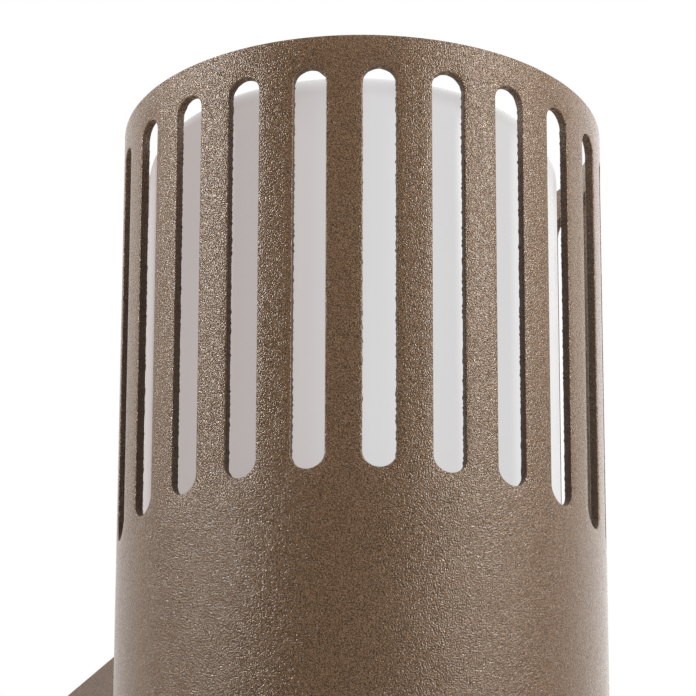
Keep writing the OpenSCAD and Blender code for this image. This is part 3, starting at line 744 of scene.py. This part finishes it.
def thicken(bm):
    """Gives the flat sheet its wall, opens its two ends and rounds its edges."""
    back = verts_of(bmesh.ops.extrude_face_region(bm, geom=bm.faces[:]))
    bmesh.ops.translate(bm, verts=back, vec=(0, TUBE_WALL, 0))
    ends = (min(v.co.x for v in bm.verts), max(v.co.x for v in bm.verts))
    shut = [
        f for f in bm.faces
        if any(all(abs(v.co.x - end) < TOUCHING for v in f.verts) for end in ends)]
    bmesh.ops.delete(bm, geom=shut, context="FACES_ONLY")
    bmesh.ops.recalc_face_normals(bm, faces=bm.faces)
    round_edges(bm, BEVEL_ABOVE, EDGE_R, EDGE_SEGMENTS)


# %% [markdown]
# The saw leaves a ragged burr on the inner edge of each slot, which the paint only rounds off. Seen
# against the bright diffuser it is a broken line. A noise that runs along the edge pushes the
# points of the inner bevel into the slot: up to a quarter of a millimetre where the noise is high,
# and not at all where it is low. Each edge reads the noise at its own place, so no two are alike.

# %% A burr on the slots' inner edges
BURR = 0.44 * MM
BURR_LENGTH = 0.42 * MM
BURR_REACH = 1.05 * EDGE_R
BURR_OFTEN = 0.1
EDGE_APART = 7.3
BAY_APART = 3.1


def add_burr(bm):
    for vert in bm.verts:
        bay = round(vert.co.x / bay_w)
        across = vert.co.x - bay * bay_w
        in_slot = (
            abs(across) < slot_half + EDGE_R and abs(vert.co.z - slot_middle) < SLOT_LEN / 2)
        if in_slot and vert.co.y > TUBE_WALL - BURR_REACH:
            side = math.copysign(1, across)
            where = Vector((side * EDGE_APART, bay * BAY_APART, vert.co.z / BURR_LENGTH))
            vert.co.x -= side * BURR * max(0.0, noise.noise(where) + BURR_OFTEN)


# %% [markdown]
# Rolling moves each point from the sheet to the tube. A slot is cut straight through the wall, so
# its two sides stay parallel: inside a slot's width a point keeps its distance from the slot's
# middle plane, and the metal between two slots takes up the rest of the turn.

# %% Rolling the sheet into the tube
def roll(bm):
    for vert in bm.verts:
        radius = TUBE_R - vert.co.y
        bay = round(vert.co.x / bay_w)
        across = vert.co.x - bay * bay_w
        slot_turn = math.asin(slot_half / radius)
        if abs(across) <= slot_half:
            turn = math.asin(across / radius)
        else:
            share = (abs(across) - slot_half) / (bay_w / 2 - slot_half)
            turn = math.copysign(slot_turn + share * (bay_turn / 2 - slot_turn), across)
        turn += bay * bay_turn
        vert.co.x = TUBE_AXIS.x + radius * math.sin(turn)
        vert.co.y = TUBE_AXIS.y - radius * math.cos(turn)
    join_seams(bm)


def on_slot_wall(face):
    """Whether a face of the flat sheet looks along the sheet, inside the height of the slots."""
    height = face.calc_center_median().z
    return abs(face.normal.y) < 0.5 and abs(height - slot_middle) < SLOT_LEN / 2


def make_tube():
    bm = flat_sheet()
    thicken(bm)
    for face in bm.faces:
        face.material_index = 1 if on_slot_wall(face) else 0
    add_burr(bm)
    roll(bm)
    return finish_piece(bm, "tube", "shade_tube", [coat_grainy, coat_in_slots])


tube = make_tube()

# %% [markdown]
# The round holes are drilled last, through the rolled tube, with a boolean: two weep holes at the
# back, three for the bottom cap's screws, two for the screws into the arm and one for the wires.
# Each has its turn in degrees from the tube's front, its height in the frame and its radius.

# %% Drilling the tube
DRILL_DEPTH = 8 * MM
DRILL_SEGMENTS = 40
HOLES = [
    # turns, heights, radius
    ((-128, 128), (51.5 * MM,), 2.5 * MM),
    ((60, 180, 300), (-71 * MM,), 1.65 * MM),
    ((180,), (-32 * MM, 32 * MM), 2.65 * MM),
    ((180,), (0,), 9 * MM),
]


def bit_for(turn, height, radius):
    """Where a drill goes through the tube's wall, as a matrix, and its radius."""
    way = Matrix.Rotation(math.radians(turn), 3, "Z") @ Vector((0, -1, 0))
    middle = TUBE_AXIS + way * (TUBE_R - TUBE_WALL / 2) + Vector((0, 0, height))
    return Matrix.Translation(middle) @ way.to_track_quat("Z", "Y").to_matrix().to_4x4(), radius


def drill(piece, bits):
    """Cuts round holes through a piece."""
    bm = bmesh.new()
    for stand, radius in bits:
        bmesh.ops.create_cone(
            bm, cap_ends=True, segments=DRILL_SEGMENTS, radius1=radius, radius2=radius,
            depth=DRILL_DEPTH, matrix=stand)
    bit = add_object("drill", to_mesh(bm, "drill"))
    cut = piece.modifiers.new("holes", "BOOLEAN")
    cut.object = bit
    cut.solver = "EXACT"
    cut.material_mode = "INDEX"
    bpy.context.view_layer.update()
    drilled = piece.evaluated_get(bpy.context.evaluated_depsgraph_get())
    whole, piece.data = piece.data, bpy.data.meshes.new_from_object(drilled)
    piece.modifiers.clear()
    for used in (bit, whole, bit.data):
        bpy.data.batch_remove([used])
    bm = bmesh.new()
    bm.from_mesh(piece.data)
    clean_up(bm)
    bm.to_mesh(piece.data)
    bm.free()
    piece.data.set_sharp_from_angle(angle=math.radians(SHARP_ABOVE))


drill(tube, [
    bit_for(turn, height, radius)
    for turns, heights, radius in HOLES for turn in turns for height in heights])
print("tube after drilling:", len(tube.data.polygons), "faces")

# %% [markdown]
# The diffuser is a turned shape: a straight side, a rounded shoulder and a very flat crown. The
# outline has only the points where it changes, with the shoulder as an arc, and spin sweeps it
# round the lamp's axis. The wall is given after the spin.

# %% The opal diffuser
DIFFUSER_R = 47 * MM
SHOULDER_R = 8 * MM
CROWN_R = 600 * MM
DIFFUSER_WALL = 2 * MM
LIP_R = 0.5 * MM
LIP_SEGMENTS = 3
SHOULDER_STEPS = 12
CROWN_STEPS = 10
SPIN_STEPS = 160
diffuser_low, diffuser_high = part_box("diffuser")


def diffuser_outline():
    """Points of the outer outline from the foot to the crown, as (radius, height)."""
    middle_r = DIFFUSER_R - SHOULDER_R
    middle_z = diffuser_high.z - SHOULDER_R
    crown_z = diffuser_high.z - CROWN_R
    points = [(DIFFUSER_R, diffuser_low.z)]
    lean = math.asin(middle_r / (CROWN_R - SHOULDER_R))
    drop = diffuser_high.z - (crown_z + (CROWN_R - SHOULDER_R) * math.cos(lean)) - SHOULDER_R
    for i in range(SHOULDER_STEPS + 1):
        turn = (math.pi / 2 - lean) * i / SHOULDER_STEPS
        points.append((
            middle_r + SHOULDER_R * math.cos(turn),
            middle_z - drop + SHOULDER_R * math.sin(turn)))
    for i in range(1, CROWN_STEPS + 1):
        turn = lean * (1 - i / CROWN_STEPS)
        points.append((CROWN_R * math.sin(turn), crown_z + CROWN_R * math.cos(turn)))
    return points


def turned(points, axis):
    """Spins an outline of (radius, height) points round a vertical axis."""
    bm = bmesh.new()
    verts = [bm.verts.new((axis.x + r, axis.y, z)) for r, z in points]
    edges = [bm.edges.new(pair) for pair in zip(verts, verts[1:])]
    bmesh.ops.spin(
        bm, geom=verts + edges, cent=axis, axis=(0, 0, 1), angle=2 * math.pi, steps=SPIN_STEPS,
        use_merge=True)
    join_seams(bm)
    return bm


def make_diffuser():
    bm = turned(diffuser_outline(), LAMP_AXIS)
    bmesh.ops.solidify(bm, geom=bm.faces[:], thickness=DIFFUSER_WALL)
    bmesh.ops.recalc_face_normals(bm, faces=bm.faces)
    round_edges(bm, BEVEL_ABOVE, LIP_R, LIP_SEGMENTS)
    finish_piece(bm, "diffuser_cup", "diffuser", [opal])


make_diffuser()

# %% [markdown]
# The other parts have the right shape already, but with knife edges that no cast, pressed or
# moulded part has. Each gets a copy of its CAD mesh with its triangles joined into flat faces and
# its sharp edges rounded by a radius that suits the part. Averaged normals would carry the curve
# of the narrow rounding right across the flat faces beside it, so the largest face at each point
# rules.

# %% Rounded copies of the CAD parts
FLAT_WITHIN = 0.4
CAD_BEVEL_ABOVE = 35
CAD_SEGMENTS = 2
CAD_SHARP_ABOVE = 50
FLAT_WEIGHT = 90


def rounded(node, name, radius, look):
    """A copy of a node with rounded edges, in place of the node."""
    bm = bmesh.new()
    bm.from_mesh(frame["nodes"][node].data)
    bmesh.ops.remove_doubles(bm, verts=bm.verts, dist=WELD)
    bmesh.ops.dissolve_limit(
        bm, angle_limit=math.radians(FLAT_WITHIN), verts=bm.verts, edges=bm.edges)
    round_edges(bm, CAD_BEVEL_ABOVE, radius, CAD_SEGMENTS)
    clean_up(bm)
    piece = finish_piece(bm, name, node, [look], sharp=CAD_SHARP_ABOVE)
    even = piece.modifiers.new("flat_faces_stay_flat", "WEIGHTED_NORMAL")
    even.mode = "FACE_AREA"
    even.weight = FLAT_WEIGHT
    even.keep_sharp = True


ROUNDED = {
    # node: (name, edge radius in millimetres, look, slot)
    "arm_housing": ("arm", 0.8, coat_smooth, "bronze_coat_smooth"),
    "bottom_cap": ("end_cap", 0.4, coat_smooth, "bronze_coat"),
    "lamp_base": ("lamp_plate", 0.3, white_plastic, "white_plastic"),
    "lamp_carrier": ("carrier", 0.25, zinc, "zinc"),
    "mounting_strap": ("strap", 0.25, zinc, "zinc"),
    "wall_plate": ("back_plate", 0.3, zinc, "zinc"),
    "wall_gasket": ("wall_seal", 0.3, black_rubber, "black_rubber"),
    "cable_grommet": ("supply_grommet", 0.3, black_rubber, "black_rubber"),
    "wire_grommet": ("inner_grommet", 0.4, black_rubber, "black_rubber"),
    "holder_body": ("lamp_holder", 0.5, porcelain, "porcelain"),
    "terminal_block": ("terminals", 0.3, natural_plastic, "clear_plastic"),
}
for node, (name, radius, look, slot) in ROUNDED.items():
    rounded(node, name, radius * MM, look)

# %% [markdown]
# Parts that are small or hidden keep their CAD mesh and only get their finish.

# %% Finishes for the parts that keep their mesh
KEPT = {
    zinc: ["lamp_base_screws", "carrier_screws", "tube_screws", "tube_screw_washers",
           "holder_screws", "arm_screws", "terminal_screws", "terminal_fixings", "earth_tag",
           "earth_washer", "bulb_contact"],
    nickel: ["bulb_cap"],
    brass: ["holder_shell", "holder_contact", "terminal_clamps", "earth_stud", "earth_nut"],
    black_rubber: ["diffuser_seal", "carrier_seal", "saddle_gasket"],
    coat_smooth: ["cap_screws"],
    black_glass: ["bulb_insulator"],
    white_plastic: ["bulb_body"],
    light_board: ["bulb_led_board"],
    globe_white: ["bulb_globe"],
    brown_wire: ["live_wire"],
    blue_wire: ["neutral_wire"],
    green_wire: ["earth_wire"],
}
for look, nodes in KEPT.items():
    for node in nodes:
        mesh = frame["nodes"][node].data
        mesh.materials.clear()
        mesh.materials.append(look)
print("finished", sum(len(nodes) for nodes in KEPT.values()), "parts that keep their mesh")

# %% [markdown]
# The set is a pale floor and a plain white surround. The camera looks up, and other views may look
# up more steeply, so the floor lies far down, where none of them gets under it. It is so wide that
# its edge doesn't cross the view of a camera that looks down on the light a little.

# %% Floor
FLOOR_Z = -2.6
FLOOR_SIZE = 60.0
FLOOR_CLOUDS = 0.5


def make_floor():
    bm = bmesh.new()
    bmesh.ops.create_grid(bm, x_segments=4, y_segments=4, size=FLOOR_SIZE / 2)
    bmesh.ops.translate(bm, verts=bm.verts, vec=(0, 0, FLOOR_Z))
    mesh = to_mesh(bm, "floor")
    look = Finish("floor_paint", (0.86, 0.86, 0.85), Roughness=0.8)
    clouds = look.grain(FLOOR_CLOUDS)
    look.set({"Base Color": look.mix(clouds, (0.85, 0.85, 0.84), (0.87, 0.87, 0.86))})
    mesh.materials.append(look.material)
    floor = add_object("floor", mesh)


make_floor()
print("floor", FLOOR_SIZE, "m wide, at", FLOOR_Z, "m")

# %% [markdown]
# Camera rays see the surround plain white. For all other rays its brightness depends on the
# bearing: a broad soft light behind the tube on each side, hardly any light in front on the left
# and some on the right. That gives the tube its bright edges and a dark stripe left of its middle.
# Overhead is a soft ceiling, which keeps the floor pale.

# %% Surround
SURROUND = [
    # bearing from the camera's side, in degrees, to the right, and brightness there
    (-180, 1.15), (-150, 1.40), (-120, 0.65), (-95, 0.08), (-30, 0.05), (0, 0.19), (30, 0.32),
    (80, 0.36), (110, 0.60), (130, 1.60), (150, 2.15), (180, 1.25),
]
CEILING = 1.3
CEILING_FROM = math.sin(math.radians(50))
CEILING_FULL = math.sin(math.radians(70))


def make_surround():
    world = bpy.data.worlds.new("surround")
    bpy.context.scene.world = world
    world.use_nodes = True
    sky = Net(world.node_tree)
    way = sky.node(
        "ShaderNodeVectorRotate", {"rotation_type": "Z_AXIS"},
        {"Vector": sky.node("ShaderNodeTexCoord", output="Generated"), "Angle": CAMERA_BEARING})
    x, y, z = (sky.node("ShaderNodeSeparateXYZ", values={0: way}, output=axis) for axis in "XYZ")
    turn = sky.node("ShaderNodeMath", {"operation": "ARCTAN2"}, {0: x, 1: -1 * y})
    brightest = max(value for turn_at, value in SURROUND)
    curve = [(turn_at / 360 + 0.5, value / brightest) for turn_at, value in SURROUND]
    around = brightest * sky.node(
        "ShaderNodeFloatCurve", {"curve": curve}, {"Value": turn / (2 * math.pi) + 0.5})
    overhead = sky.step(z, CEILING_FROM, CEILING_FULL)
    brightness = around + overhead * (CEILING - around)
    lit = sky.node("ShaderNodeBackground", values={"Strength": brightness})
    seen = sky.node("ShaderNodeBackground", values={"Color": (1, 1, 1, 1)})
    to_camera = sky.node("ShaderNodeLightPath", output="Is Camera Ray")
    shown = sky.node("ShaderNodeMixShader", values={0: to_camera, 1: lit, 2: seen})
    sky.end("ShaderNodeOutputWorld", shown.socket)


make_surround()
bpy.context.scene.view_settings.view_transform = "Standard"
print("surround of", len(SURROUND), "bearings, ceiling", CEILING)

# %% [markdown]
# Two soft boxes stand left and right of the tube, a little over half a metre from it and well above
# the camera. They are bright and fairly narrow, so each bump of the coat that faces one lights up
# and its neighbour doesn't: that is what makes the grain show so strongly left and right of the
# tube's middle. The camera looks up, so it sees them mirrored in the tube's upper half more than in
# its lower half.

# %% Soft boxes
BOX_DISTANCE = 0.55
BOX_AIM = rim_middle - Vector((0, 0, 80 * MM))


def soft_box(name, side, rise, width, tall, brightness):
    """An area light that faces the tube, from side degrees right of the camera and rise upwards."""
    turn, lift = math.radians(side), math.radians(rise)
    away = BOX_DISTANCE * (bearing @ Vector((
        math.sin(turn) * math.cos(lift), -math.cos(turn) * math.cos(lift), math.sin(lift))))
    light = bpy.data.lights.new(name, "AREA")
    light.shape = "RECTANGLE"
    light.size = width
    light.size_y = tall
    light.energy = math.pi * width * tall * brightness
    lamp = add_object(name, light)
    lamp.location = BOX_AIM + away
    lamp.rotation_euler = (-away).to_track_quat("-Z", "Y").to_euler()
    print(name, "at", lamp.location)


soft_box("left_box", side=-78, rise=33, width=0.085, tall=0.26, brightness=23.5)
soft_box("right_box", side=60, rise=32, width=0.13, tall=0.275, brightness=16.3)
